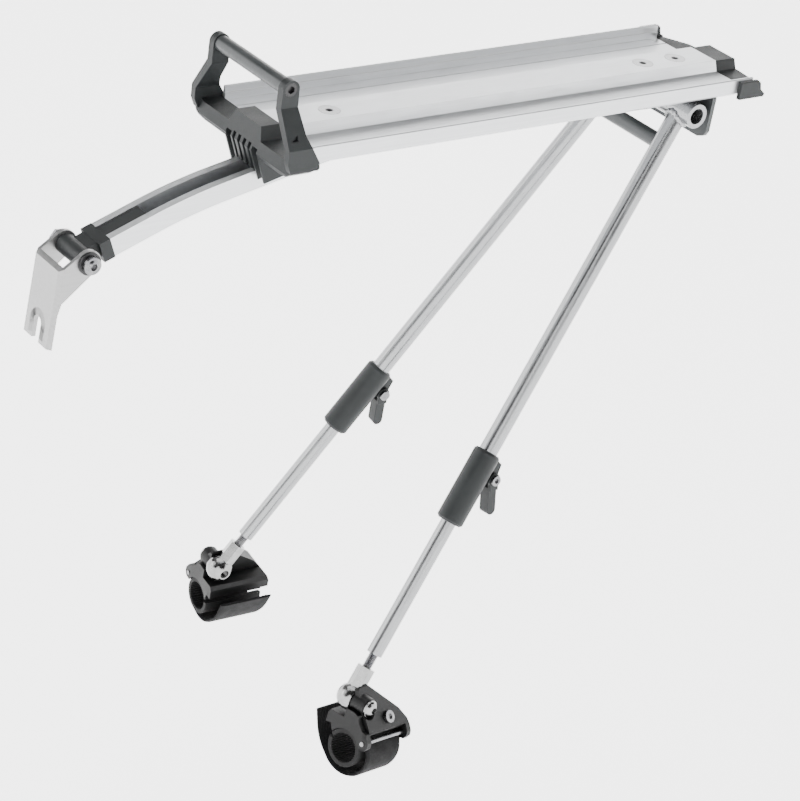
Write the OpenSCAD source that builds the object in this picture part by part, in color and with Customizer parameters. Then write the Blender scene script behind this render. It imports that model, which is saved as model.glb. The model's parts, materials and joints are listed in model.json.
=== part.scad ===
/* [Deck] */
// Overall width of the deck over its lips
deck_w = 94; // [90:0.5:100]
// Length of the deck extrusion
deck_len = 329; // [300:1:360]
// Wall thickness of the deck extrusion
deck_t = 1.8; // [1.4:0.1:2.6]
// Width of the raised platform top
platform_w = 24; // [20:0.5:28]
// Height of the platform above the channel floors
platform_h = 6.4; // [5:0.1:8]
// Height of the lips above the platform top
lip_rise = 2.4; // [1:0.1:4]
// Head diameter of the countersunk platform screws
screw_head_d = 13.4; // [12:0.1:15]

/* [Bail] */
// Diameter of the round crossbar
crossbar_d = 9.5; // [8:0.1:12]
// Height of the crossbar axis above the platform
crossbar_z = 34.5; // [30:0.5:40]
// Thickness of each bail arm
bail_t = 5; // [4:0.5:6]

/* [Front arm] */
// Width of the front arm extrusion
arm_w = 21; // [18:0.5:21]
// Height of the front arm extrusion
arm_h = 12; // [10:0.5:14]
// Downward slope of the arm below the deck, degrees
arm_slope = 12; // [8:0.5:16]
// Extra slope of the arm nose, degrees
nose_slope = 8.5; // [5:0.5:12]

/* [Bracket] */
// Thickness of the bent bracket plate
bracket_t = 2.5; // [2:0.1:3]
// Overall width of the bracket
bracket_w = 30; // [28:0.5:34]
// Width of the open-ended bolt slot
slot_w = 7.5; // [6.5:0.1:9]
// Pitch angle of the bracket face, degrees
bracket_pitch = 5.8; // [-20:0.1:30]

/* [Legs] */
// Outside diameter of the upper leg tubes
upper_d = 12; // [11.5:0.1:13]
// Outside diameter of the lower leg tubes
lower_d = 10; // [9:0.1:10]
// Forward lean of the legs, degrees
leg_lean = 34.45; // [30:0.05:40]
// Outward splay of each leg, degrees
leg_splay = 6.65; // [4:0.05:9]
// Distance down the leg to the lower tube end
leg_reach = 374; // [360:1:400]
// Opening angle of the clamp levers, degrees
lever_open = 36; // [10:1:60]

/* [Stay clamps] */
// Clear diameter inside the rubber liner
stay_d = 18; // [14:0.5:19]
// Pitch of the left stay clamp, degrees
left_pitch = -11.5; // [-20:0.5:30]
// Pitch of the right stay clamp, degrees
right_pitch = 0; // [-20:0.5:30]
// Turn of the left rod end about the leg axis, degrees
left_turn = 12; // [0:1:20]
// Turn of the right rod end about the leg axis, degrees
right_turn = 0; // [0:1:20]
// Thread showing above the left rod end
left_thread = 9.5; // [2:0.5:12]
// Thread showing above the right rod end
right_thread = 7.5; // [2:0.5:12]

/* [Hidden] */
$fn = 64;
deck_front = -165;
deck_back = deck_front + deck_len;
half_w = deck_w / 2;
top_half = platform_w / 2;
foot_half = top_half + 2.4;
under_half = foot_half - 1.3;
floor_z = -platform_h;
base_z = floor_z - deck_t;
screw_xs = [-122.8, 113.4, 140];
cap_front = -184;
bail_x = -178;
run_x = -45;
run_z = -2.35;
run_len = 7;
bend_r = 150;
slope_len = 114.3;
nose_r = 340;
nose_len = 26.3;
hinge_x = -283;
hinge_z = -62.9;
ear_in = bracket_w / 2 - bracket_t;
tube_x = 124.1;
tube_z = -19.4;
tube_d = 16;
leg_x = 115.9;
leg_y = 31.92;
leg_z = -31.4;
cross_x = 109.9;
cross_z = -40.1;
sleeve_top = 230;
sleeve_end = 280;
lever_s = 243.6;
lever_x = 12.8;
neck_top = 20.5;
hollow_y = 10.5;
hollow_z = -29.5;
liner_r = stay_d / 2 + 3.5;
strap_in = liner_r + 0.2;
strap_out = liner_r + 2.4;
pin_y = 23.6;
plate_lean = 51.2;
pin_z = -19.6;
silver = [0.80, 0.81, 0.83];
grey = [0.36, 0.38, 0.39];
black = [0.08, 0.08, 0.09];
bright = [0.88, 0.88, 0.88];

// Closes a half outline across the middle plane.
function both(half) = concat(
    half, [for (i = [len(half) - 1 : -1 : 0]) [-half[i][0], half[i][1]]]
);

// Draws a (y, z) outline and runs it along +X.
module run_x_axis(length) {
    rotate([90, 0, 90])
        linear_extrude(length)
            children();
}

// Draws an (x, z) outline and runs it along Y, centred.
module run_y_axis(length) {
    translate([0, length / 2, 0])
        rotate([90, 0, 0])
            linear_extrude(length)
                children();
}

// Lays a cylinder along Y, centred.
module bar_y(d, length) {
    rotate([90, 0, 0])
        cylinder(d = d, h = length, center = true);
}

module mirrored() {
    mirror([0, 1, 0])
        children();
}

// ---- Deck ----
deck_half = [
    [top_half, 0], [foot_half, floor_z], [34.8, floor_z], [34.8, floor_z - 0.5],
    [35.6, floor_z - 0.5], [35.6, floor_z], [half_w - 2.4, floor_z],
    [half_w - 2.4, -2.2], [half_w - 1.8, -1.6], [half_w - 1.8, lip_rise - 0.4],
    [half_w - 1.4, lip_rise], [half_w - 0.5, lip_rise], [half_w, lip_rise - 0.5],
    [half_w, base_z + 1.6], [half_w - 1.6, base_z], [under_half, base_z],
    [under_half - 2.4, -deck_t]
];

module deck() {
    color(silver)
        difference() {
            translate([deck_front, 0, 0])
                run_x_axis(deck_len)
                    polygon(both(deck_half));
            for (x = screw_xs)
                translate([x, 0, -3.7])
                    cylinder(d1 = 6.1, d2 = screw_head_d + 0.1, h = 3.71);
            translate([159, 41, base_z - 1])
                cylinder(d = 3, h = 4, $fn = 24);
        }
}

module platform_screw(length) {
    difference() {
        union() {
            translate([0, 0, -3.7])
                cylinder(d1 = 6, d2 = screw_head_d, h = 3.7);
            translate([0, 0, -length])
                cylinder(d = 6, h = length - 3.6);
        }
        translate([0, 0, -2.4])
            cylinder(d = 4.6, h = 3, $fn = 6);
    }
}

module platform_screws() {
    color(bright) {
        translate([screw_xs[0], 0, 0])
            platform_screw(20);
        translate([screw_xs[1], 0, 0])
            platform_screw(13);
        translate([screw_xs[2], 0, 0])
            platform_screw(13);
    }
}

// ---- Front cap with the bail arms ----
nose_half = [
    [13.3, 2.8], [16.7, -5], [44, -5], [47.2, -4], [51.5, -4], [51.5, -9.5],
    [46, -13.5], [40, -14.5], [17.6, -14.5]
];

module nose_side() {
    polygon([
        [deck_front - 0.2, -34], [deck_front - 0.2, 3], [-177.8, 3], [-177.9, 2],
        [-180.3, -8.1], [-181.5, -12], [-174.5, -31], [-174, -34]
    ]);
}

module bail_front() {
    polygon([
        [38.5, 45], [38.5, 24], [51.5, 4], [51.5, -10], [47.2, -10],
        [47.2, 2.6], [38.5 - bail_t, 22.4], [38.5 - bail_t, 45]
    ]);
}

module bail_side() {
    translate([bail_x, crossbar_z])
        circle(d = 10.9);
    polygon([
        [bail_x - 5.45, crossbar_z], [-183.6, 24], [-184, 3], [-184, -4],
        [-181.5, -9.8], [-163.4, -9.8], [-162.4, -8.6], [-163, -5], [-168.5, 4],
        [-171, 10], [-172.4, 24], [bail_x + 5.45, crossbar_z]
    ]);
}

module bail_arm() {
    difference() {
        intersection() {
            translate([-190, 0, 0])
                run_x_axis(32)
                    bail_front();
            run_y_axis(120)
                bail_side();
        }
        translate([bail_x, 40, crossbar_z])
            bar_y(5.1, 30);
        translate([bail_x, 38.6, crossbar_z])
            bar_y(8.1, 5.2);
        translate([0, 51.2, 0])
            run_y_axis(10)
                polygon([[-181.3, 8.2], [-177, 8], [-176.6, 11.2]]);
    }
}

module front_cap() {
    color(grey)
        difference() {
            union() {
                intersection() {
                    translate([-190, 0, 0])
                        run_x_axis(32)
                            polygon(both(nose_half));
                    run_y_axis(120)
                        nose_side();
                }
                run_y_axis(20.8)
                    polygon([
                        [-166, -1.9], [-112, -1.9], [-112, -14], [-176, -27.5],
                        [-176, -8], [-166, -8]
                    ]);
                run_y_axis(35.2)
                    polygon([
                        [-180.4, -8.4], [-148, -8.4], [-148, -19], [-151, -25],
                        [-174.5, -31], [-181.5, -12]
                    ]);
                bail_arm();
                mirrored()
                    bail_arm();
            }
            band(arm_line, -30, 0.05, arm_w + 0.1);
            for (y = [-7.95, -2.65, 2.65, 7.95])
                translate([-184, y - 1.3, -40])
                    cube([16, 2.6, 31.5]);
            for (y = [-16.2, 11])
                translate([-184, y, -40])
                    cube([26, 5.2, 30.5]);
            translate([screw_xs[0], 0, -3.7])
                cylinder(d1 = 6.1, d2 = screw_head_d + 0.1, h = 3.71);
            translate([screw_xs[0], 0, -30])
                cylinder(d = 6.1, h = 27);
        }
}

module crossbar() {
    color(grey)
        translate([bail_x, 0, crossbar_z])
            difference() {
                bar_y(crossbar_d, 2 * (38.5 - bail_t) - 0.1);
                bar_y(5.1, 100);
            }
}

module crossbar_screw() {
    translate([bail_x, 0, crossbar_z])
        difference() {
            union() {
                translate([0, 37.2, 0])
                    bar_y(8, 2.4);
                translate([0, 29, 0])
                    bar_y(5, 14.2);
            }
            translate([0, 38, 0])
                rotate([0, 30, 0])
                    bar_y(4.6, 3, $fn = 6);
        }
}

module crossbar_screws() {
    color(black) {
        crossbar_screw();
        mirrored()
            crossbar_screw();
    }
}

// ---- Rear cap ----
rear_half = [
    [top_half, -0.3], [foot_half, floor_z - 0.2], [47.4, floor_z - 0.2],
    [47.4, base_z - 2], [foot_half, base_z - 2], [foot_half - 1, base_z - 1]
];

module rear_wing() {
    translate([0, 48.8, 0])
        run_y_axis(3)
            polygon([
                [152, 1.2], [166.5, 1.2], [168.6, -0.6], [169.6, -5], [173.4, -8.2],
                [172.4, -10.2], [152, -10.2]
            ]);
}

module rear_cap() {
    color(grey)
        union() {
            intersection() {
                translate([deck_back + 0.1, 0, 0])
                    run_x_axis(20)
                        polygon(both(rear_half));
                translate([0, 0, -20])
                    linear_extrude(40)
                        polygon([
                            [150, -50], [170, -50], [171, -46], [179.4, -30],
                            [181, -16], [180, -10], [180, 10], [181, 16],
                            [179.4, 30], [171, 46], [170, 50], [150, 50]
                        ]);
            }
            rear_wing();
            mirrored()
                rear_wing();
        }
}

// ---- Front arm ----
// Top line of the arm as [x, z, slope], from under the deck to its nose.
function bend(p, a1, r, n) = [
    for (i = [1 : n])
        let (a = p[2] + (a1 - p[2]) * i / n)
            [p[0] - r * (sin(a) - sin(p[2])), p[1] - r * (cos(p[2]) - cos(a)), a]
];
function onward(p, d) = [p[0] - d * cos(p[2]), p[1] - d * sin(p[2]), p[2]];
function last(list) = list[len(list) - 1];
function raised(p, v) = [p[0] - v * sin(p[2]), p[1] + v * cos(p[2])];

arm_start = [run_x, run_z, 0];
arm_bend = bend(onward(arm_start, run_len), arm_slope, bend_r, 8);
slope_end = onward(last(arm_bend), slope_len);
nose_bend = bend(slope_end, arm_slope + nose_slope, nose_r, 8);
arm_tip = onward(last(nose_bend), nose_len);
arm_line = concat(
    [arm_start, onward(arm_start, run_len)], arm_bend, [slope_end], nose_bend, [arm_tip]
);
insert_line = [onward(arm_tip, -27), onward(arm_tip, -0.1)];

// A band that follows a line, between two heights over it.
module band(line, low, high, width) {
    run_y_axis(width)
        polygon(concat(
            [for (p = line) raised(p, high)],
            [for (i = [len(line) - 1 : -1 : 0]) raised(line[i], low)]
        ));
}

module at_tip() {
    translate([arm_tip[0], 0, arm_tip[1]])
        rotate([0, -arm_slope - nose_slope, 0])
            children();
}

module front_arm() {
    color(silver)
        difference() {
            band(arm_line, -arm_h, 0, arm_w);
            band(arm_line, -10.2, 1, 11.2);
            band(arm_line, -10.2, -2.6, 16.4);
            translate([screw_xs[0], 0, -40])
                cylinder(d = 6.1, h = 30);
        }
}

module arm_insert() {
    color(grey)
        band(insert_line, -3, -0.4, 11);
}

module end_block() {
    color(grey)
        difference() {
            union() {
                at_tip() {
                    translate([-7.1, 0, 0])
                        run_x_axis(7)
                            translate([-arm_w / 2 - 0.3, -arm_h - 0.3])
                                square([arm_w + 0.6, arm_h + 0.6]);
                    translate([-15, 0, 0])
                        run_x_axis(9)
                            translate([-7.5, -10])
                                square([15, 10]);
                    translate([-1, 0, 0])
                        run_x_axis(15)
                            translate([-8, -10])
                                square([16, 5.2]);
                }
                translate([hinge_x, 0, hinge_z])
                    bar_y(12, 2 * ear_in - 0.8);
            }
            translate([hinge_x, 0, hinge_z])
                bar_y(6.2, 60);
        }
}

// ---- Front bracket, hinged on the end block ----
module bracket_side() {
    polygon([
        [-4.4, 5.9], [0, 6.5], [6, 0], [5, -5.4], [-13, -24], [-14.4, -31],
        [-14.4, -52], [-17, -52], [-17, -5], [-15.6, -3.6]
    ]);
}

module bracket_plan() {
    difference() {
        translate([-17, -bracket_w / 2])
            square([34, bracket_w]);
        translate([-17 + bracket_t, -ear_in])
            square([40, 2 * ear_in]);
        translate([-17, -bracket_w / 2])
            rotate(45)
                square([3, 3], center = true);
        translate([-17, bracket_w / 2])
            rotate(45)
                square([3, 3], center = true);
    }
}

module at_hinge() {
    translate([hinge_x, 0, hinge_z])
        rotate([0, bracket_pitch, 0])
            children();
}

module bracket() {
    color(silver)
        at_hinge()
            difference() {
                union() {
                    intersection() {
                        translate([0, 0, -60])
                            linear_extrude(80)
                                bracket_plan();
                        run_y_axis(40)
                            bracket_side();
                    }
                    for (y = [-1, 1])
                        translate([0, y * (bracket_w - bracket_t) / 2, 0])
                            bar_y(15, bracket_t);
                }
                bar_y(6.1, 60);
                translate([-20, 0, -41.5])
                    rotate([0, 90, 0])
                        cylinder(d = slot_w, h = 6);
                translate([-20, -slot_w / 2, -60])
                    cube([6, slot_w, 18.5]);
            }
}

module bracket_bolt() {
    color(bright)
        at_hinge()
            difference() {
                union() {
                    bar_y(6, 36);
                    translate([0, -18.2, 0])
                        bar_y(10.5, 3);
                    intersection() {
                        translate([0, -15.2, 0])
                            sphere(d = 12);
                        translate([0, -20.4, 0])
                            bar_y(10.5, 3);
                    }
                }
                translate([0, -20.6, 0])
                    bar_y(4.6, 4, $fn = 6);
            }
}

module bracket_washers() {
    color(black)
        at_hinge()
            for (y = [-15.9, 15.9])
                translate([0, y, 0])
                    difference() {
                        bar_y(13.5, 1.6);
                        bar_y(6.2, 3);
                    }
}

module bracket_nut() {
    color(bright)
        at_hinge()
            translate([0, 18.6, 0])
                difference() {
                    bar_y(11.5, 3.6, $fn = 6);
                    bar_y(6.1, 10);
                }
}

// ---- Rear plate and leg frame ----
module rear_plate() {
    color(grey)
        difference() {
            union() {
                translate([134, 0, 0])
                    run_x_axis(3)
                        polygon(both([
                            [46, base_z - 0.1], [45, -31], [43, -34.4], [38, -36.4]
                        ]));
                run_y_axis(20.8)
                    polygon([
                        [104, -1.9], [150, -1.9], [150, -7], [136, -14], [136, -27],
                        [112, -27], [104, -16]
                    ]);
            }
            translate([tube_x, 0, tube_z])
                bar_y(tube_d + 0.1, 60);
            for (x = [screw_xs[1], screw_xs[2]])
                translate([x, 0, 0]) {
                    translate([0, 0, -3.7])
                        cylinder(d1 = 6.1, d2 = screw_head_d + 0.1, h = 3.71);
                    translate([0, 0, -13.5])
                        cylinder(d = 6.1, h = 11);
                }
        }
}

module leg_tube() {
    color(silver)
        translate([tube_x, 0, tube_z])
            difference() {
                bar_y(tube_d, 90);
                bar_y(10, 100);
            }
}

// Local frame of the right leg: the leg runs down local -Z.
module leg_frame() {
    translate([leg_x, leg_y, leg_z])
        rotate([leg_splay, leg_lean, 0])
            children();
}

module cross_tube() {
    color(grey)
        difference() {
            translate([cross_x, 0, cross_z])
                bar_y(10, 66);
            leg_frame()
                translate([0, 0, -60])
                    cylinder(d = upper_d + 0.1, h = 80);
            mirrored()
                leg_frame()
                    translate([0, 0, -60])
                        cylinder(d = upper_d + 0.1, h = 80);
        }
}

module upper_leg() {
    color(silver)
        difference() {
            leg_frame()
                translate([0, 0, -268])
                    difference() {
                        cylinder(d = upper_d, h = 282.6);
                        translate([0, 0, -1])
                            cylinder(d = lower_d + 0.1, h = 262);
                    }
            translate([tube_x, 0, tube_z])
                bar_y(tube_d + 0.1, 100);
        }
}

module upper_leg_right() {
    upper_leg();
}

module upper_leg_left() {
    mirrored()
        upper_leg();
}

// ---- Clamp sleeves and levers ----
module sleeve() {
    color(grey)
        leg_frame()
            difference() {
                union() {
                    translate([0, 0, -sleeve_end + 1.5])
                        cylinder(d = 17.5, h = sleeve_end - sleeve_top - 3);
                    translate([0, 0, -sleeve_end])
                        cylinder(d1 = 14.5, d2 = 17.5, h = 1.5);
                    translate([0, 0, -sleeve_top - 1.5])
                        cylinder(d1 = 17.5, d2 = 15, h = 1.5);
                    run_y_axis(5.2)
                        polygon([
                            [0, 1.5 - lever_s - 12], [lever_x, -4 - lever_s],
                            [lever_x + 4, -lever_s], [lever_x + 1.6, 10.6 - lever_s],
                            [8, 12.1 - lever_s], [0, 12.1 - lever_s]
                        ]);
                }
                translate([0, 0, -268.1])
                    cylinder(d = upper_d + 0.1, h = 50);
                translate([0, 0, -300])
                    cylinder(d = lower_d + 0.1, h = 40);
                translate([lever_x, 0, -lever_s])
                    bar_y(4.1, 20);
            }
}

module sleeve_right() {
    sleeve();
}

module sleeve_left() {
    mirrored()
        sleeve();
}

module lever() {
    color(grey)
        leg_frame()
            translate([lever_x, 0, -lever_s])
                rotate([0, -lever_open, 0])
                    difference() {
                        union() {
                            bar_y(8.6, 10.4);
                            translate([-3.3, -5.2, -7.5])
                                cube([6.6, 10.4, 7.5]);
                            translate([-3.3, -3.8, -21.5])
                                cube([6.6, 7.6, 15]);
                            translate([0, 0, -21.5])
                                bar_y(6.6, 7.6);
                        }
                        translate([-10, -2.9, -5.6])
                            cube([20, 5.8, 12]);
                        bar_y(5.8, 5.8);
                        bar_y(4.1, 20);
                    }
}

module lever_right() {
    lever();
}

module lever_left() {
    mirrored()
        lever();
}

module lever_screw() {
    leg_frame()
        translate([lever_x, 0, -lever_s])
            difference() {
                union() {
                    bar_y(4, 12);
                    translate([0, 6.4, 0])
                        bar_y(6.8, 1.8);
                    translate([0, -6.4, 0])
                        bar_y(6.8, 1.8);
                }
                translate([0, 7, 0])
                    bar_y(3.4, 2.4, $fn = 6);
            }
}

module lever_screws() {
    color(bright) {
        lever_screw();
        mirrored()
            lever_screw();
    }
}

// ---- Lower legs, studs and rod ends ----
module lower_leg() {
    color(silver)
        leg_frame()
            translate([0, 0, -leg_reach])
                difference() {
                    cylinder(d = lower_d, h = 194);
                    translate([0, 0, 20])
                        cylinder(d = 8, h = 180);
                    translate([0, 0, -1])
                        cylinder(d = 6.1, h = 30);
                }
}

module lower_leg_right() {
    lower_leg();
}

module lower_leg_left() {
    mirrored()
        lower_leg();
}

module stud() {
    color(bright)
        leg_frame()
            translate([0, 0, -leg_reach - 17])
                cylinder(d = 6, h = 38);
}

module stud_right() {
    stud();
}

module stud_left() {
    mirrored()
        stud();
}

function turn_of(side) = side > 0 ? right_turn : left_turn;
function pitch_of(side) = side > 0 ? right_pitch : left_pitch;
function thread_of(side) = side > 0 ? right_thread : left_thread;

// Local frame of a rod end; side is 1 on the right and -1 on the left.
module eye_frame(side) {
    mirror([0, side > 0 ? 0 : 1, 0])
        leg_frame()
            translate([0, 0, -leg_reach - thread_of(side) - neck_top])
                rotate([0, 0, -turn_of(side)])
                    children();
}

module rod_end(side) {
    color(bright)
        eye_frame(side)
            difference() {
                union() {
                    intersection() {
                        sphere(d = 17.4);
                        translate([0, -1.4, 0])
                            bar_y(30, 12.6);
                    }
                    translate([0, 0, 6])
                        cylinder(d = 11.5, h = neck_top - 6, $fn = 6);
                }
                bar_y(6.1, 30);
                translate([0, 0, 9.5])
                    cylinder(d = 6.1, h = 20);
            }
}

module rod_end_right() {
    rod_end(1);
}

module rod_end_left() {
    rod_end(-1);
}

// ---- Stay clamps ----
// The clamp hangs outboard of the eye with its hollow along local X.
module clamp_frame(side) {
    eye_frame(side)
        rotate([0, -leg_lean - pitch_of(side), 0])
            children();
}

module eye_bolt(side) {
    color(bright)
        clamp_frame(side)
            difference() {
                union() {
                    translate([0, 5.4, 0])
                        bar_y(6, 20);
                    translate([0, 16.2, 0])
                        bar_y(11, 1.6);
                    intersection() {
                        translate([0, 13.8, 0])
                            sphere(d = 12.4);
                        translate([0, 18.4, 0])
                            bar_y(11, 3);
                    }
                }
                translate([0, 19, 0])
                    bar_y(4.6, 4, $fn = 6);
            }
}

module eye_bolt_right() {
    eye_bolt(1);
}

module eye_bolt_left() {
    eye_bolt(-1);
}

// Outline of the clamp seen from outboard, in local (x, z).
module clamp_side() {
    polygon([
        [-8, -40], [-8, 2], [-6.6, 7], [-2, 9.6], [6.5, 9.6], [29.5, -4.7],
        [35, -10.6], [36, -14], [36, -40]
    ]);
}

// Sloping plate and the shelf under the rod end, in local (y, z).
module clamp_middle() {
    polygon([
        [-7, -18.5], [-7, -13], [-5.5, -10.2], [5.2, -10.2], [5.2, 10], [6, 10],
        [24.5, -13], [23, -15.6], [20.4, -17.2], [12, -24], [0, -24], [-1, -20],
        [-3, -18.4]
    ]);
}

module clamp_front() {
    polygon([
        [-7, -19.6], [-7, -13], [-5.5, -10.2], [5.2, -10.2], [5.2, -4], [11, -3.6],
        [14.8, -4.6], [17, -8.6], [20.6, -12], [24.5, -13], [27.6, -17.4],
        [27.9, -20.6], [26.2, -23.4], [22.8, -24.2], [19, -23.4], [12, -24],
        [2, -25], [-1, -22.4], [-3, -18.6]
    ]);
}

module clamp_back() {
    polygon([
        [8, -10.2], [22.2, -10.2], [24.5, -13], [27.6, -17.4], [27.9, -20.6],
        [26.2, -23.4], [22.8, -24.2], [19, -23.4], [8, -24]
    ]);
}

module along_clamp(low, high) {
    translate([low, 0, 0])
        run_x_axis(high - low)
            children();
}

module stay_clamp(side) {
    color(black)
        clamp_frame(side)
            difference() {
                union() {
                    intersection() {
                        union() {
                            along_clamp(-4.1, 36)
                                clamp_middle();
                            along_clamp(-8, -4)
                                clamp_front();
                            along_clamp(32, 36)
                                clamp_back();
                        }
                        run_y_axis(100)
                            clamp_side();
                    }
                    translate([0, 10.3, 0])
                        bar_y(12.6, 10.2);
                }
                along_clamp(-20, 50)
                    translate([hollow_y, hollow_z])
                        circle(r = liner_r + 0.1);
                translate([-4, 0, -40])
                    cube([36, 40, 20.6]);
                translate([0, 10, 0])
                    bar_y(6.1, 30);
                translate([0, 22.4, 0])
                    bar_y(13.4, 14);
                translate([-20, pin_y, pin_z])
                    rotate([0, 90, 0])
                        cylinder(d = 3.1, h = 80);
                translate([17, 20.1, -7.5])
                    rotate([-plate_lean, 0, 0])
                        translate([0, 0, -8.2])
                            cylinder(d = 5.1, h = 12);
            }
}

module stay_clamp_right() {
    stay_clamp(1);
}

module stay_clamp_left() {
    stay_clamp(-1);
}

module liner(side) {
    color(black)
        clamp_frame(side)
            difference() {
                along_clamp(-7, 35)
                    translate([hollow_y, hollow_z])
                        difference() {
                            circle(r = liner_r);
                            circle(r = stay_d / 2);
                        }
                translate([-10, hollow_y - 20, hollow_z + 2])
                    cube([60, 20, 3]);
            }
}

module liner_right() {
    liner(1);
}

module liner_left() {
    liner(-1);
}

// Webbing strap: from the jaw pin round the underside to its flared free end.
function slack(a) = 4.6 * sin(min(90, 0.9 * (28 - a)));
function on_ring(r, a) =
    [hollow_y + (r + slack(a)) * cos(a), hollow_z + (r + slack(a)) * sin(a)];

module strap_outline() {
    polygon(concat(
        [for (a = [28 : -6 : -134]) on_ring(strap_out, a)],
        [[-9, -37.6], [-14, -29.5], [-18.6, -17.6], [-16.8, -17.2], [-12.2, -28.8]],
        [[-7.2, -36.4]],
        [for (a = [-134 : 6 : 28]) on_ring(strap_in, a)]
    ));
}

module strap(side) {
    color(black)
        clamp_frame(side)
            along_clamp(-3.7, 31.7)
                strap_outline();
}

module strap_right() {
    strap(1);
}

module strap_left() {
    strap(-1);
}

module jaw_pin(side) {
    color(bright)
        clamp_frame(side)
            translate([-8.5, pin_y, pin_z])
                rotate([0, 90, 0])
                    cylinder(d = 3, h = 45);
}

module jaw_pin_right() {
    jaw_pin(1);
}

module jaw_pin_left() {
    jaw_pin(-1);
}

module strap_screw(side) {
    color(bright)
        clamp_frame(side)
            translate([17, 20.1, -7.5])
                rotate([-plate_lean, 0, 0])
                    difference() {
                        union() {
                            translate([0, 0, -8])
                                cylinder(d = 5, h = 9);
                            translate([0, 0, 0.1])
                                cylinder(d = 8, h = 2);
                        }
                        translate([0, 0, 0.8])
                            cylinder(d = 4, h = 3, $fn = 6);
                    }
}

module strap_screw_right() {
    strap_screw(1);
}

module strap_screw_left() {
    strap_screw(-1);
}

deck();
platform_screws();
front_cap();
crossbar();
crossbar_screws();
rear_cap();
front_arm();
arm_insert();
end_block();
bracket();
bracket_bolt();
bracket_nut();
bracket_washers();
rear_plate();
leg_tube();
cross_tube();
upper_leg_left();
upper_leg_right();
sleeve_left();
sleeve_right();
lever_left();
lever_right();
lever_screws();
lower_leg_left();
lower_leg_right();
stud_left();
stud_right();
rod_end_left();
rod_end_right();
eye_bolt_left();
eye_bolt_right();
stay_clamp_left();
stay_clamp_right();
liner_left();
liner_right();
strap_left();
strap_right();
jaw_pin_left();
jaw_pin_right();
strap_screw_left();
strap_screw_right();
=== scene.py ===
import json
import math

import bmesh
import bpy
from mathutils import Matrix, Vector

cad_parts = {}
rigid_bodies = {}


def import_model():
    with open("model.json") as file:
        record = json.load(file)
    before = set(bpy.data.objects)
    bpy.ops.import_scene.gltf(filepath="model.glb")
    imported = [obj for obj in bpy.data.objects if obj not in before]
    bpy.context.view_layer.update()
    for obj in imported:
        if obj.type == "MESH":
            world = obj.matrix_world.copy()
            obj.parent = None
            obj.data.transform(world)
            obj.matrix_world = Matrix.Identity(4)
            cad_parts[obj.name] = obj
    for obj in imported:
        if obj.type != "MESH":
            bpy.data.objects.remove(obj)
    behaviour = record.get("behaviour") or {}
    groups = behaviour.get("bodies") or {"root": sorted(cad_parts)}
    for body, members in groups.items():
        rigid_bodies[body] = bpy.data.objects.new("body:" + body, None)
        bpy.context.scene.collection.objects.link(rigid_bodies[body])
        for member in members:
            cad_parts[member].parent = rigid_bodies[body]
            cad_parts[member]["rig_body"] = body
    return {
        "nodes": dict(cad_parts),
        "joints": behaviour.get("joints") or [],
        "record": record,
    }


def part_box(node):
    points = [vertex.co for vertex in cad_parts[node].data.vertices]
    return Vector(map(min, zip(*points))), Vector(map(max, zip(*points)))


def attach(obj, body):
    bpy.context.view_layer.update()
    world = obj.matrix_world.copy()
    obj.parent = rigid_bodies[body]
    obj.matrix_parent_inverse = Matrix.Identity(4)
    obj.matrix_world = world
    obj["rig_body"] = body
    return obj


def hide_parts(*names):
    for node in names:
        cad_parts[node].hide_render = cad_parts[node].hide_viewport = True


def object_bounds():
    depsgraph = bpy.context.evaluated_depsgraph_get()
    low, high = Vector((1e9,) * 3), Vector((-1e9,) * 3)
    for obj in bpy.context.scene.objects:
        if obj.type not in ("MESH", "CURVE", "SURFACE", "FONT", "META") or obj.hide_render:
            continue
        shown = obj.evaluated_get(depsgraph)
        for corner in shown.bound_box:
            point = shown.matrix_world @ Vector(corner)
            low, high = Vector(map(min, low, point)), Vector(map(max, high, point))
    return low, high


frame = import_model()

CAD_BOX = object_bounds()
MM = 0.001
SIDES = ("left", "right")
JOINTS = {joint["name"]: joint for joint in frame["joints"]}
MOUNTS = {mount["name"]: mount for mount in frame["record"]["mounts"]}
SLOTS = {part["node"]: part["material_slot"] for part in frame["record"]["subparts"]}


# ---- Places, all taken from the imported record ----

def columns(x, y, z, origin):
    """A matrix from its three axes and its origin."""
    rows = [[x[i], y[i], z[i], origin[i]] for i in range(3)]
    return Matrix(rows + [[0, 0, 0, 1]])


def outward(side):
    """The direction of an eye bolt, away from the wheel."""
    axis = Vector(JOINTS["clamp_pivot_" + side]["axis"]).normalized()
    return axis if side == "left" else -axis


def eye_space(side):
    """Z runs up the leg from the rod end's eye, and Y along its bolt."""
    origin = Vector(JOINTS["rod_turn_" + side]["pos_m"])
    up = Vector(JOINTS["rod_turn_" + side]["axis"]).normalized()
    if up.z < 0:
        up = -up
    out = outward(side)
    along = out.cross(up) if side == "right" else up.cross(out)
    return columns(along.normalized(), out, up, origin)


def clamp_space(side):
    """X runs along the seat stay through the middle of the clamp's hollow."""
    mount = MOUNTS["stay_clamp_" + side]
    along = -Vector(mount["axis"]).normalized()
    out = outward(side)
    up = along.cross(out) if side == "right" else out.cross(along)
    return columns(along, out, up.normalized(), Vector(mount["pos_m"]))


def bracket_space():
    """X points to the rear from the middle of the slot's closed end."""
    mount = MOUNTS["bracket_slot"]
    along = -Vector(mount["axis"]).normalized()
    across = Vector((0, 1, 0))
    return columns(along, across, along.cross(across), Vector(mount["pos_m"]))


# ---- Materials ----

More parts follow.
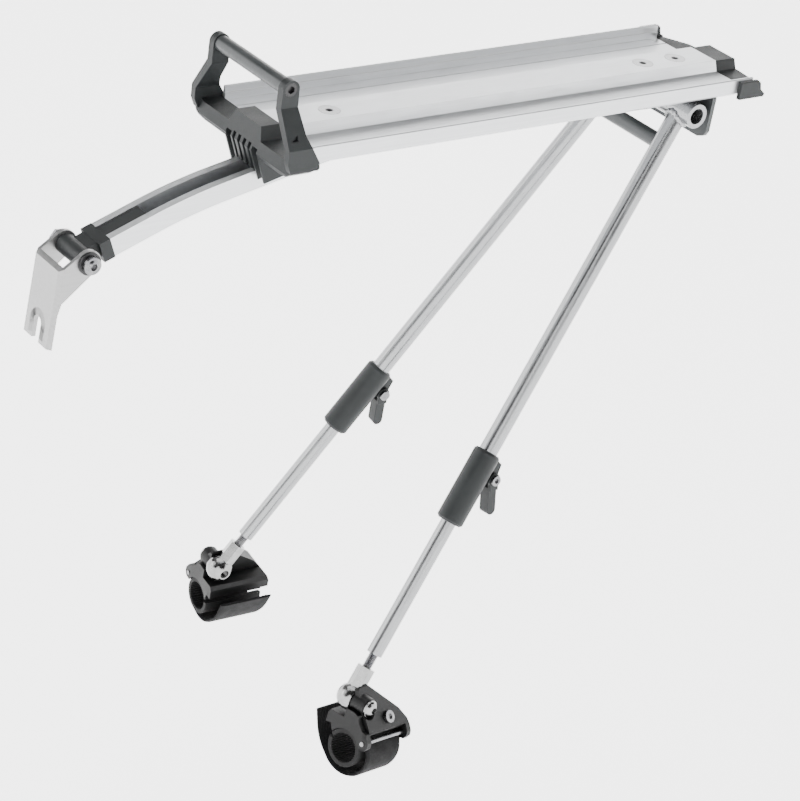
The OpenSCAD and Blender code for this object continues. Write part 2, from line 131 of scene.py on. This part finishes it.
class Paint:
    """A Principled material, and the few node chains that all of them share."""

    def __init__(self, name, metallic=0.0, sheen=0.0):
        self.material = bpy.data.materials.new(name)
        self.material.use_nodes = True
        self.tree = self.material.node_tree
        self.shader = self.tree.nodes["Principled BSDF"]
        self.shader.inputs["Metallic"].default_value = metallic
        self.shader.inputs["Sheen Weight"].default_value = sheen
        self.place = self.node("ShaderNodeTexCoord").outputs["Object"]
        self.height = None

    def node(self, kind, **values):
        made = self.tree.nodes.new(kind)
        for key, value in values.items():
            setattr(made, key, value)
        return made

    def link(self, source, target):
        self.tree.links.new(source, target)
        return target

    def stretched(self, scale, turn=(0, 0, 0)):
        """Object coordinates, turned into a part's own frame and then scaled."""
        mapping = self.node("ShaderNodeMapping", vector_type="TEXTURE")
        mapping.inputs["Rotation"].default_value = turn
        mapping.inputs["Scale"].default_value = [1 / s for s in scale]
        self.link(self.place, mapping.inputs["Vector"])
        return mapping.outputs["Vector"]

    def noise(self, scale, detail=3.0, vector=None):
        made = self.node("ShaderNodeTexNoise")
        made.inputs["Scale"].default_value = scale
        made.inputs["Detail"].default_value = detail
        self.link(vector or self.place, made.inputs["Vector"])
        return made.outputs["Fac"]

    def ranged(self, value, low, high, start=0.35, end=0.65):
        made = self.node("ShaderNodeMapRange")
        made.inputs["From Min"].default_value = start
        made.inputs["From Max"].default_value = end
        made.inputs["To Min"].default_value = low
        made.inputs["To Max"].default_value = high
        self.link(value, made.inputs["Value"])
        return made.outputs["Result"]

    def sum(self, a, b, operation="ADD"):
        made = self.node("ShaderNodeMath", operation=operation)
        self.link(a, made.inputs[0])
        if isinstance(b, (int, float)):
            made.inputs[1].default_value = b
        else:
            self.link(b, made.inputs[1])
        return made.outputs["Value"]

    def mix(self, factor, a, b):
        """A colour between a and b, each a colour or the output of another mix."""
        made = self.node("ShaderNodeMix", data_type="RGBA")
        self.link(factor, made.inputs["Factor"])
        for socket, colour in ((made.inputs[6], a), (made.inputs[7], b)):
            if isinstance(colour, tuple):
                socket.default_value = (*colour, 1)
            else:
                self.link(colour, socket)
        return made.outputs[2]

    def worn(self, colour, wear_and_shade_colour, amount=0.6):
        """Shows a second colour along the rounded edges, in broken patches: the colour of
        wear on most parts, and dark painted shade on the sunk screws.
        """
        edge = self.node("ShaderNodeAttribute", attribute_name="edge")
        patches = self.ranged(self.noise(260, 4), 0.0, amount, 0.42, 0.66)
        return self.mix(self.sum(edge.outputs["Fac"], patches, "MULTIPLY"), colour, wear_and_shade_colour)

    def bump(self, value, depth):
        """Adds one layer of relief, its depth in metres."""
        made = self.node("ShaderNodeBump")
        made.inputs["Distance"].default_value = depth
        made.inputs["Strength"].default_value = 1.0
        self.link(value, made.inputs["Height"])
        if self.height:
            self.link(self.height, made.inputs["Normal"])
        self.height = made.outputs["Normal"]

    def finish(self, colour, roughness):
        self.link(colour, self.shader.inputs["Base Color"])
        self.link(roughness, self.shader.inputs["Roughness"])
        if self.height:
            self.link(self.height, self.shader.inputs["Normal"])
        return self.material


def brushed_metal(name, dark, light, rough, fine, turn=(0, 0, 0), metallic=0.9):
    """Drawn or brushed aluminium: fine lines along local X, soft clouding, faint marks."""
    paint = Paint(name, metallic=metallic)
    lines = paint.noise(1.0, 4, paint.stretched((14, fine, fine), turn))
    clouds = paint.noise(28, 3)
    marks = paint.noise(1.0, 6, paint.stretched((60, 420, 420), turn))
    colour = paint.mix(paint.ranged(lines, 0, 1, 0.3, 0.7), dark, light)
    colour = paint.mix(paint.ranged(clouds, 0, 0.35), colour, light)
    colour = paint.worn(colour, (0.60, 0.60, 0.61), 0.6)
    roughness = paint.sum(
        paint.ranged(lines, rough - 0.05, rough + 0.06, 0.3, 0.7),
        paint.ranged(marks, -0.03, 0.05, 0.45, 0.7),
    )
    paint.bump(lines, 0.000012)
    paint.bump(marks, 0.000006)
    return paint.finish(colour, roughness)


def moulded_plastic(name, dark, light, rough, grain=1500, depth=0.00003):
    """Injection-moulded plastic: fine spark texture, faint flow marks, rubbed edges."""
    paint = Paint(name)
    paint.shader.inputs["Specular IOR Level"].default_value = 0.22
    spark = paint.noise(grain, 5)
    flow = paint.noise(1.0, 3, paint.stretched((30, 70, 45)))
    colour = paint.mix(paint.ranged(flow, 0, 1), dark, light)
    colour = paint.mix(paint.ranged(spark, 0, 0.3), colour, light)
    rubbed = tuple(1.5 * c + 0.001 for c in light)
    colour = paint.worn(colour, rubbed, 0.7)
    roughness = paint.sum(
        paint.ranged(spark, rough - 0.05, rough + 0.05),
        paint.ranged(flow, -0.05, 0.05),
    )
    paint.bump(spark, depth)
    return paint.finish(colour, roughness)


def powder_coat(name, dark, light, rough):
    """Satin powder coat on metal, with its orange-peel relief."""
    paint = Paint(name, metallic=0.25)
    peel = paint.noise(620, 2)
    clouds = paint.noise(45, 3)
    colour = paint.mix(paint.ranged(clouds, 0, 1), dark, light)
    colour = paint.worn(colour, (0.20, 0.21, 0.22), 0.4)
    roughness = paint.sum(
        paint.ranged(peel, rough - 0.06, rough + 0.06),
        paint.ranged(clouds, -0.04, 0.04),
    )
    paint.bump(peel, 0.00005)
    return paint.finish(colour, roughness)


def plated_steel(name, dark, light, rough, edge=(0.70, 0.70, 0.70)):
    """Bright plated steel: turning marks, faint stains, and edges in their own tone, which
    is wear by default and painted shade when the tone is dark.
    """
    paint = Paint(name, metallic=1.0)
    stains = paint.noise(180, 4)
    marks = paint.noise(1.0, 3, paint.stretched((1500, 240, 1500)))
    colour = paint.mix(paint.ranged(stains, 0, 1), dark, light)
    # Rounded edges take the edge tone; a dark tone there is painted shade, a light one is
    # wear.
    colour = paint.worn(colour, edge, 0.8)
    roughness = paint.sum(
        paint.ranged(marks, rough - 0.04, rough + 0.06),
        paint.ranged(stains, -0.03, 0.05),
    )
    paint.bump(marks, 0.000008)
    return paint.finish(colour, roughness)


def webbing(name):
    """Knitted hook-and-loop strap: fibre fuzz over the modelled ribs."""
    paint = Paint(name, sheen=0.02)
    paint.shader.inputs["Specular IOR Level"].default_value = 0.15
    paint.shader.inputs["Sheen Roughness"].default_value = 0.5
    fibres = paint.noise(1.0, 5, paint.stretched((2600, 1100, 1100)))
    patches = paint.noise(150, 4)
    colour = paint.mix(
        paint.ranged(fibres, 0, 1), (0.002, 0.002, 0.002), (0.010, 0.010, 0.011)
    )
    colour = paint.mix(paint.ranged(patches, 0, 0.5), colour, (0.006, 0.006, 0.006))
    colour = paint.worn(colour, (0.02, 0.02, 0.022), 0.5)
    paint.bump(fibres, 0.00018)
    return paint.finish(colour, paint.ranged(patches, 0.78, 0.95))


def leg_turn(side):
    """Turns a texture's X onto the leg, for the lines along its tubes."""
    up = eye_space(side).col[2].to_3d()
    return up.to_track_quat("X", "Z").to_euler()


def make_materials():
    silver = ((0.50, 0.51, 0.525), (0.58, 0.59, 0.60))
    tube = ((0.24, 0.244, 0.25), (0.28, 0.284, 0.29))
    return {
        "brushed_deck": brushed_metal("satin_deck", *silver, 0.36, 900),
        "tube_alloy": brushed_metal("tube_alloy", *tube, 0.25, 700),
        "leg_left": brushed_metal("leg_left", *tube, 0.25, 700, leg_turn("left")),
        "leg_right": brushed_metal("leg_right", *tube, 0.25, 700, leg_turn("right")),
        "bracket_alloy": brushed_metal(
            "bracket_alloy", (0.26, 0.26, 0.26), (0.30, 0.30, 0.30), 0.36, 600
        ),
        "grey_plastic": moulded_plastic(
            "grey_plastic", (0.010, 0.0115, 0.012), (0.014, 0.016, 0.0165), 0.50
        ),
        "grey_insert": moulded_plastic(
            "grey_insert", (0.012, 0.0135, 0.014), (0.016, 0.018, 0.0185), 0.56
        ),
        "grey_tube": powder_coat(
            "grey_tube", (0.022, 0.025, 0.026), (0.028, 0.031, 0.032), 0.38
        ),
        "grey_plate": powder_coat(
            "grey_plate", (0.026, 0.029, 0.030), (0.033, 0.037, 0.038), 0.45
        ),
        "bright_steel": plated_steel(
            "bright_steel", (0.15, 0.15, 0.16), (0.22, 0.22, 0.22), 0.26
        ),
        # Near-black edge tone: painted shade of the gap round each sunk screw head, laid on
        # the head's rounded rim.
        "sunk_screws": plated_steel(
            "sunk_screws", (0.30, 0.30, 0.31), (0.38, 0.38, 0.38), 0.30, (0.02, 0.02, 0.02)
        ),
        "black_steel": powder_coat(
            "black_steel", (0.008, 0.008, 0.009), (0.014, 0.014, 0.015), 0.38
        ),
        "rod_chrome": plated_steel(
            "rod_chrome", (0.22, 0.22, 0.22), (0.28, 0.28, 0.28), 0.18
        ),
        "black_plastic": moulded_plastic(
            "black_plastic", (0.0012, 0.0013, 0.0014), (0.0022, 0.0023, 0.0024), 0.46, 1300
        ),
        "black_rubber": moulded_plastic(
            "black_rubber", (0.003, 0.003, 0.003), (0.006, 0.006, 0.006), 0.72, 900,
            0.00006,
        ),
        "black_webbing": webbing("black_webbing"),
    }


# ---- Mesh helpers ----

def add_object(name, mesh, material, body):
    """Puts a finished mesh into the scene, on its body."""
    made = bpy.data.objects.new(name, mesh)
    bpy.context.scene.collection.objects.link(made)
    mesh.materials.clear()
    mesh.materials.append(material)
    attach(made, body)
    return made


def smooth(mesh, angle):
    """Shades the mesh smooth, except over edges sharper than the angle."""
    work = bmesh.new()
    work.from_mesh(mesh)
    for face in work.faces:
        face.smooth = True
    for edge in work.edges:
        bent = len(edge.link_faces) == 2 and edge.calc_face_angle(0) > math.radians(angle)
        edge.smooth = not bent
    work.to_mesh(mesh)
    work.free()


def weigh_normals(made):
    weighted = made.modifiers.new("weighted", "WEIGHTED_NORMAL")
    weighted.keep_sharp = True
    weighted.weight = 70


def rounded_copy(node, width, segments=2):
    """A copy of a CAD solid with its sharp edges rounded, and those edges marked."""
    work = bmesh.new()
    work.from_mesh(frame["nodes"][node].data)
    bmesh.ops.remove_doubles(work, verts=work.verts, dist=0.000004)
    bmesh.ops.dissolve_limit(
        work, angle_limit=math.radians(0.6), verts=work.verts, edges=work.edges
    )
    sharp = [
        edge for edge in work.edges
        if len(edge.link_faces) == 2 and edge.calc_face_angle(0) > math.radians(24)
    ]
    made = bmesh.ops.bevel(
        work, geom=sharp, offset=width, offset_type="OFFSET", segments=segments,
        profile=0.5, affect="EDGES", clamp_overlap=True,
    )
    layer = work.faces.layers.float.new("edge")
    for face in made["faces"]:
        if face.is_valid:
            face[layer] = 1.0
    mesh = bpy.data.meshes.new(node + "_shell")
    work.to_mesh(mesh)
    work.free()
    smooth(mesh, 50)
    return mesh


def replace_with_rounded(node, width, material, segments=2):
    body = frame["nodes"][node]["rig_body"]
    mesh = rounded_copy(node, width * MM, segments)
    made = add_object(node + "_shell", mesh, material, body)
    weigh_normals(made)
    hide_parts(node)
    return made


def grid_mesh(name, rows, closed_rows=False, closed_columns=False, caps=False):
    """A surface over rows of points."""
    work = bmesh.new()
    grid = [[work.verts.new(point) for point in row] for row in rows]
    high = len(grid) if closed_rows else len(grid) - 1
    wide = len(grid[0]) if closed_columns else len(grid[0]) - 1
    for i in range(high):
        for j in range(wide):
            after, beside = (i + 1) % len(grid), (j + 1) % len(grid[0])
            work.faces.new(
                (grid[i][j], grid[i][beside], grid[after][beside], grid[after][j])
            )
    if caps:
        work.faces.new(list(reversed(grid[0])))
        work.faces.new(grid[-1])
    bmesh.ops.recalc_face_normals(work, faces=work.faces)
    mesh = bpy.data.meshes.new(name)
    work.to_mesh(mesh)
    work.free()
    return mesh


def placed(mesh, space):
    """Moves a mesh built in millimetres into its place in the row frame."""
    mesh.transform(space @ Matrix.Scale(MM, 4))
    if space.determinant() < 0:
        mesh.flip_normals()
    return mesh


# ---- Modelled details ----

def wave(turns):
    """A triangle wave from 0 to 1 and back over each whole turn."""
    return 1 - abs(2 * (turns % 1.0) - 1)


def threaded_stud(side, material):
    """M6 stud with its thread, between the leg tube and the rod end."""
    node = "stud_" + side
    back = eye_space(side).inverted()
    shown = frame["nodes"][node]
    along = [(back @ shown.matrix_world @ v.co).z / MM for v in shown.data.vertices]
    pitch, low, high, around = 1.0, min(along) + 0.1, max(along) - 0.1, 32
    steps = int((high - low) / pitch * 6)
    rows = []
    for i in range(steps + 1):
        z = low + (high - low) * i / steps
        end = min(1.0, (z - low) / 0.8, (high - z) / 0.8)
        row = []
        for j in range(around):
            angle = 2 * math.pi * j / around
            crest = min(1.0, 1.5 * wave(z / pitch - j / around))
            radius = 2.42 + 0.56 * crest * max(0.0, end)
            row.append((radius * math.cos(angle), radius * math.sin(angle), z))
        rows.append(row)
    mesh = grid_mesh("stud", rows, closed_columns=True, caps=True)
    smooth(placed(mesh, eye_space(side)), 40)
    made = add_object(node + "_thread", mesh, material, "leg_" + side)
    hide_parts(node)


def weld_bead(side, material):
    """The lumpy weld round the leg's top, where it meets the transverse tube."""
    low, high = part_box("leg_tube")
    centre = (low + high) / 2
    tube_r = (high.z - low.z) / 2
    space = eye_space(side)
    up = space.col[2].to_3d()
    across = up.cross(Vector((0, 1, 0))).normalized()
    beside = up.cross(across)
    foot = space.translation
    turns, around, leg_r = 120, 14, 6.0 * MM
    flat = Vector((1, 0, 1))
    path = []
    for i in range(turns):
        angle = 2 * math.pi * i / turns
        start = foot + leg_r * (math.cos(angle) * across + math.sin(angle) * beside)
        gap, way = (start - centre) * flat, up * flat
        a, b = way.dot(way), gap.dot(way)
        c = gap.dot(gap) - tube_r * tube_r
        reach = (-b - math.sqrt(max(0.0, b * b - a * c))) / a
        path.append(start + up * reach)
    rows = []
    for i, point in enumerate(path):
        ahead = (path[(i + 1) % turns] - path[i - 1]).normalized()
        angle = 2 * math.pi * i / turns
        off_leg = math.cos(angle) * across + math.sin(angle) * beside
        off_leg = (off_leg - ahead * off_leg.dot(ahead)).normalized()
        side_way = ahead.cross(off_leg)
        ripple = 0.5 + 0.5 * math.cos(16 * angle)
        lump = 0.25 * math.sin(3 * angle + 0.7) + 0.15 * math.sin(7 * angle)
        size = (1.75 + 0.42 * ripple + lump) * MM
        row = []
        for j in range(around):
            turn = 2 * math.pi * j / around
            radius = size * (1 + 0.07 * math.sin(5 * turn + 9 * angle))
            row.append(
                point + radius * (math.cos(turn) * off_leg + math.sin(turn) * side_way)
            )
        rows.append(row)
    mesh = grid_mesh("weld_" + side, rows, closed_rows=True, closed_columns=True)
    smooth(mesh, 70)
    add_object("weld_" + side, mesh, material, "rack")


def ridge(work, start, end, width, rise, normal):
    """One small raised ridge between two points."""
    along = (end - start).normalized()
    across = along.cross(normal).normalized() * width / 2
    corners = [start - across, start + across, end + across, end - across]
    base = [work.verts.new(point - normal * 0.05) for point in corners]
    top = [work.verts.new(point + normal * rise) for point in (start, end)]
    work.faces.new((base[0], base[1], top[0]))
    work.faces.new((base[2], base[3], top[1]))
    work.faces.new((base[1], base[2], top[1], top[0]))
    work.faces.new((base[3], base[0], top[0], top[1]))
    work.faces.new(base)


def bracket_teeth(material):
    """Radial serrations pressed into the bracket's face round its slot."""
    work = bmesh.new()
    face_x, count = -1.25, 64
    normal = Vector((-1, 0, 0))
    for i in range(count):
        angle = 2 * math.pi * i / count
        way = Vector((0, math.cos(angle), math.sin(angle)))
        if way.z < -0.1 and abs(way.y) * 4.3 < 3.95:
            continue
        if way.z < -0.92:
            continue
        origin = Vector((face_x, 0, 0))
        ridge(work, origin + 4.3 * way, origin + 8.4 * way, 0.34, 0.24, normal)
    for sign in (-1, 1):
        for step in range(9):
            start = Vector((face_x, sign * 4.15, -1.2 - 0.75 * step))
            end = Vector((face_x, sign * 8.0, -1.2 - 0.75 * step - 0.9))
            ridge(work, start, end, 0.34, 0.24, normal)
    bmesh.ops.recalc_face_normals(work, faces=work.faces)
    mesh = bpy.data.meshes.new("bracket_teeth")
    work.to_mesh(mesh)
    work.free()
    placed(mesh, bracket_space())
    add_object("bracket_teeth", mesh, material, "bracket")


STRAP_START = 28
STRAP_TURN = 162
STRAP_RADIUS = 13.8
STRAP_SLACK = 4.6
STRAP_TAIL = (Vector((-18.6, -7.5)), Vector((-23.6, 0.3)), Vector((-28.2, 12.0)))


def curve_through(bends, steps):
    """Points on a smooth curve through the bends, the first bend left out."""
    points = []
    for k in range(len(bends) - 1):
        a, b = bends[k], bends[k + 1]
        before = bends[k - 1] if k else 2 * a - b
        after = bends[k + 2] if k + 2 < len(bends) else 2 * b - a
        for i in range(1, steps + 1):
            t = i / steps
            points.append(0.5 * (
                2 * a + t * (b - before)
                + t * t * (2 * before - 5 * a + 4 * b - after)
                + t ** 3 * (3 * a - before - 3 * b + after)
            ))
    return points


def strap_line():
    """The strap's middle line in the clamp's (y, z), in millimetres."""
    loop = []
    for i in range(73):
        turn = STRAP_TURN * i / 72
        angle = math.radians(STRAP_START - turn)
        radius = STRAP_RADIUS + STRAP_SLACK * math.sin(math.radians(min(90, 0.9 * turn)))
        loop.append(Vector((radius * math.cos(angle), radius * math.sin(angle))))
    return loop + curve_through([loop[-1], *STRAP_TAIL], 12)


def strap(side, material):
    """Knitted strap with wavy ribs, round the underside, and its flared free end."""
    line = strap_line()
    wide = 84
    outer, inner = [], []
    for i, point in enumerate(line):
        before, after = line[max(0, i - 1)], line[min(len(line) - 1, i + 1)]
        way = (after - before).normalized()
        out = Vector((way.y, -way.x))
        done = i / (len(line) - 1)
        thick = 1.1 - 0.3 * max(0.0, done - 0.7)
        waist = math.sin(math.pi * min(1.0, done / 0.8)) ** 2
        front = -16.9 - 2.6 * done * done
        back = 17.4 - 3.4 * waist + 1.6 * done * done
        outer_row, inner_row = [], []
        for j in range(wide + 1):
            u = j / wide
            x = front + (back - front) * u
            rib = wave((x + 0.9 * math.sin(i * 0.62)) / 2.6)
            loop = 0.5 + 0.5 * math.sin(i * 1.25 + 2.1 * math.sin(x * 1.2))
            lift = 0.34 * rib * rib + 0.14 * loop
            edge = min(1.0, min(u, 1 - u) * 14)
            high = point + out * (thick * edge ** 0.4 + (lift - 0.25) * edge)
            low = point - out * (thick * edge ** 0.4 - 0.12)
            outer_row.append((x, high.x, high.y))
            inner_row.append((x, low.x, low.y))
        outer.append(outer_row)
        inner.append(inner_row)
    rows = [top + list(reversed(under)) for top, under in zip(outer, inner)]
    mesh = grid_mesh("strap", rows, closed_columns=True, caps=True)
    smooth(placed(mesh, clamp_space(side)), 80)
    node = "strap_" + side
    made = add_object(node + "_knit", mesh, material, "clamp_" + side)
    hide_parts(node)


def liner(side, material):
    """Rubber liner with fine grip ribs along its inner face."""
    rows = []
    start, turn, steps, ribs = -190, 348, 348, 34
    for i in range(steps + 1):
        angle = math.radians(start + turn * i / steps)
        grip = wave(ribs * i / steps)
        inside = 9.05 + 0.45 * min(1.0, 1.6 * grip)
        ring = [(-20.9, 12.1), (-20.6, 12.4), (20.6, 12.4), (20.9, 12.1)]
        ring += [(20.9, inside + 0.3), (20.6, inside), (-20.6, inside)]
        ring += [(-20.9, inside + 0.3)]
        rows.append([(x, r * math.cos(angle), r * math.sin(angle)) for x, r in ring])
    mesh = grid_mesh("liner", rows, closed_columns=True, caps=True)
    smooth(placed(mesh, clamp_space(side)), 35)
    node = "liner_" + side
    made = add_object(node + "_ribbed", mesh, material, "clamp_" + side)
    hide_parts(node)


# ---- Putting the rack together ----

ROUNDED = {
    "deck": 0.18, "platform_screws": 0.35, "front_cap": 0.5, "crossbar_screws": 0.2,
    "rear_cap": 0.5, "front_arm": 0.35, "arm_insert": 0.25, "end_block": 0.5,
    "bracket": 0.45, "bracket_bolt": 0.25, "bracket_nut": 0.4, "bracket_washers": 0.2,
    "rear_plate": 0.4, "leg_tube": 0.35, "sleeve": 0.6, "lever": 0.5,
    "lever_screws": 0.25, "rod_end": 0.8, "eye_bolt": 0.25, "stay_clamp": 0.6,
    "strap_screw": 0.2,
}


def material_of(node, materials):
    for side in SIDES:
        if node in ("upper_leg_" + side, "lower_leg_" + side):
            return materials["leg_" + side]
    if node == "platform_screws":
        return materials["sunk_screws"]
    return materials[SLOTS[node]]


def build(materials):
    for side in SIDES:
        threaded_stud(side, materials["bright_steel"])
        weld_bead(side, materials["tube_alloy"])
        strap(side, materials["black_webbing"])
        liner(side, materials["black_rubber"])
    bracket_teeth(materials["bracket_alloy"])
    for node, shown in frame["nodes"].items():
        if shown.hide_render:
            continue
        material = material_of(node, materials)
        kind = node.replace("_left", "").replace("_right", "")
        if kind in ROUNDED:
            replace_with_rounded(node, ROUNDED[kind], material)
        else:
            shown.data.materials.clear()
            shown.data.materials.append(material)


# ---- Camera, floor and light ----

# Each lobe of the sky: its direction, the cosines where it starts and is full, its strength.
SKY_BASE = 0.3
SKY_LOBES = (
    ((0.5, 0.68, 0.55), 0.5, 0.95, 9.0),
    ((-0.85, 0.45, 0.3), 0.45, 0.95, 1.5),
    ((0.0, 0.0, 1.0), 0.4, 1.0, 0.5),
)
FLOOR_GLOW = 3.0
FLOOR_DROP = 0.12
FLOOR_SIZE = 7
FLOOR_FLAT = 4.5


def add_camera():
    """The camera fitted to the rack's long edges."""
    camera = bpy.data.objects.new("camera", bpy.data.cameras.new("camera"))
    camera.data.lens = 116.9
    camera.data.sensor_width = 36
    right = Vector((0.81104, -0.57181, 0.12348))
    up = Vector((0.18588, 0.45204, 0.87242))
    back = Vector((-0.55468, -0.68461, 0.47291))
    camera.matrix_world = columns(right, up, back, Vector((-0.9462, -1.1170, 0.5636)))
    bpy.context.scene.collection.objects.link(camera)
    bpy.context.scene.camera = camera


def add_floor():
    """A pale floor, flat round the rack and rising far away from it."""
    work = bmesh.new()
    bmesh.ops.create_grid(work, x_segments=40, y_segments=40, size=FLOOR_SIZE)
    for vertex in work.verts:
        far = max(0.0, vertex.co.length - FLOOR_FLAT)
        vertex.co.z = 0.35 * far * far
    mesh = bpy.data.meshes.new("floor")
    work.to_mesh(mesh)
    work.free()
    floor = bpy.data.objects.new("floor", mesh)
    bpy.context.scene.collection.objects.link(floor)
    floor.location.z = CAD_BOX[0].z - FLOOR_DROP
    paint = Paint("pale_floor")
    clouds = paint.noise(0.7, 2)
    colour = paint.mix(paint.ranged(clouds, 0, 1), (0.93, 0.93, 0.93), (0.95, 0.95, 0.95))
    paint.shader.inputs["Emission Color"].default_value = (1.0, 1.0, 1.0, 1)
    paint.shader.inputs["Emission Strength"].default_value = FLOOR_GLOW
    mesh.materials.append(paint.finish(colour, paint.ranged(clouds, 0.85, 0.95)))


def add_light(name, place, target, size, watts):
    light = bpy.data.lights.new(name, "AREA")
    light.shape = "RECTANGLE"
    light.size, light.size_y = size
    light.energy = watts
    made = bpy.data.objects.new(name, light)
    made.location = place
    aim = Vector(target) - Vector(place)
    made.rotation_euler = aim.to_track_quat("-Z", "Y").to_euler()
    bpy.context.scene.collection.objects.link(made)


def sky_lobe(tree, way, low, high, strength):
    """The strength of the light from round one direction of the studio."""
    place = tree.nodes.new("ShaderNodeTexCoord")
    dot = tree.nodes.new("ShaderNodeVectorMath")
    dot.operation = "DOT_PRODUCT"
    dot.inputs[1].default_value = Vector(way).normalized()
    ramp = tree.nodes.new("ShaderNodeMapRange")
    ramp.interpolation_type = "SMOOTHSTEP"
    ramp.inputs["From Min"].default_value = low
    ramp.inputs["From Max"].default_value = high
    ramp.inputs["To Max"].default_value = strength
    tree.links.new(place.outputs["Generated"], dot.inputs[0])
    tree.links.new(dot.outputs["Value"], ramp.inputs["Value"])
    return ramp.outputs["Result"]


def add_sky():
    """A pale studio, brightest behind the rack and dark behind the camera."""
    world = bpy.data.worlds.new("studio")
    world.use_nodes = True
    tree = world.node_tree
    strength = None
    for lobe in SKY_LOBES:
        added = tree.nodes.new("ShaderNodeMath")
        if strength:
            tree.links.new(strength, added.inputs[0])
        else:
            added.inputs[0].default_value = SKY_BASE
        tree.links.new(sky_lobe(tree, *lobe), added.inputs[1])
        strength = added.outputs["Value"]
    tree.links.new(strength, tree.nodes["Background"].inputs["Strength"])
    bpy.context.scene.world = world


def add_lights():
    target = (-0.02, 0, -0.12)
    add_light("overhead", (0.3, 0.5, 2.2), target, (2.4, 2.0), 45)
    add_light("left_key", (-2.0, 0.9, 1.2), target, (1.4, 1.6), 18)
    add_sky()


build(make_materials())
add_camera()
add_floor()
add_lights()
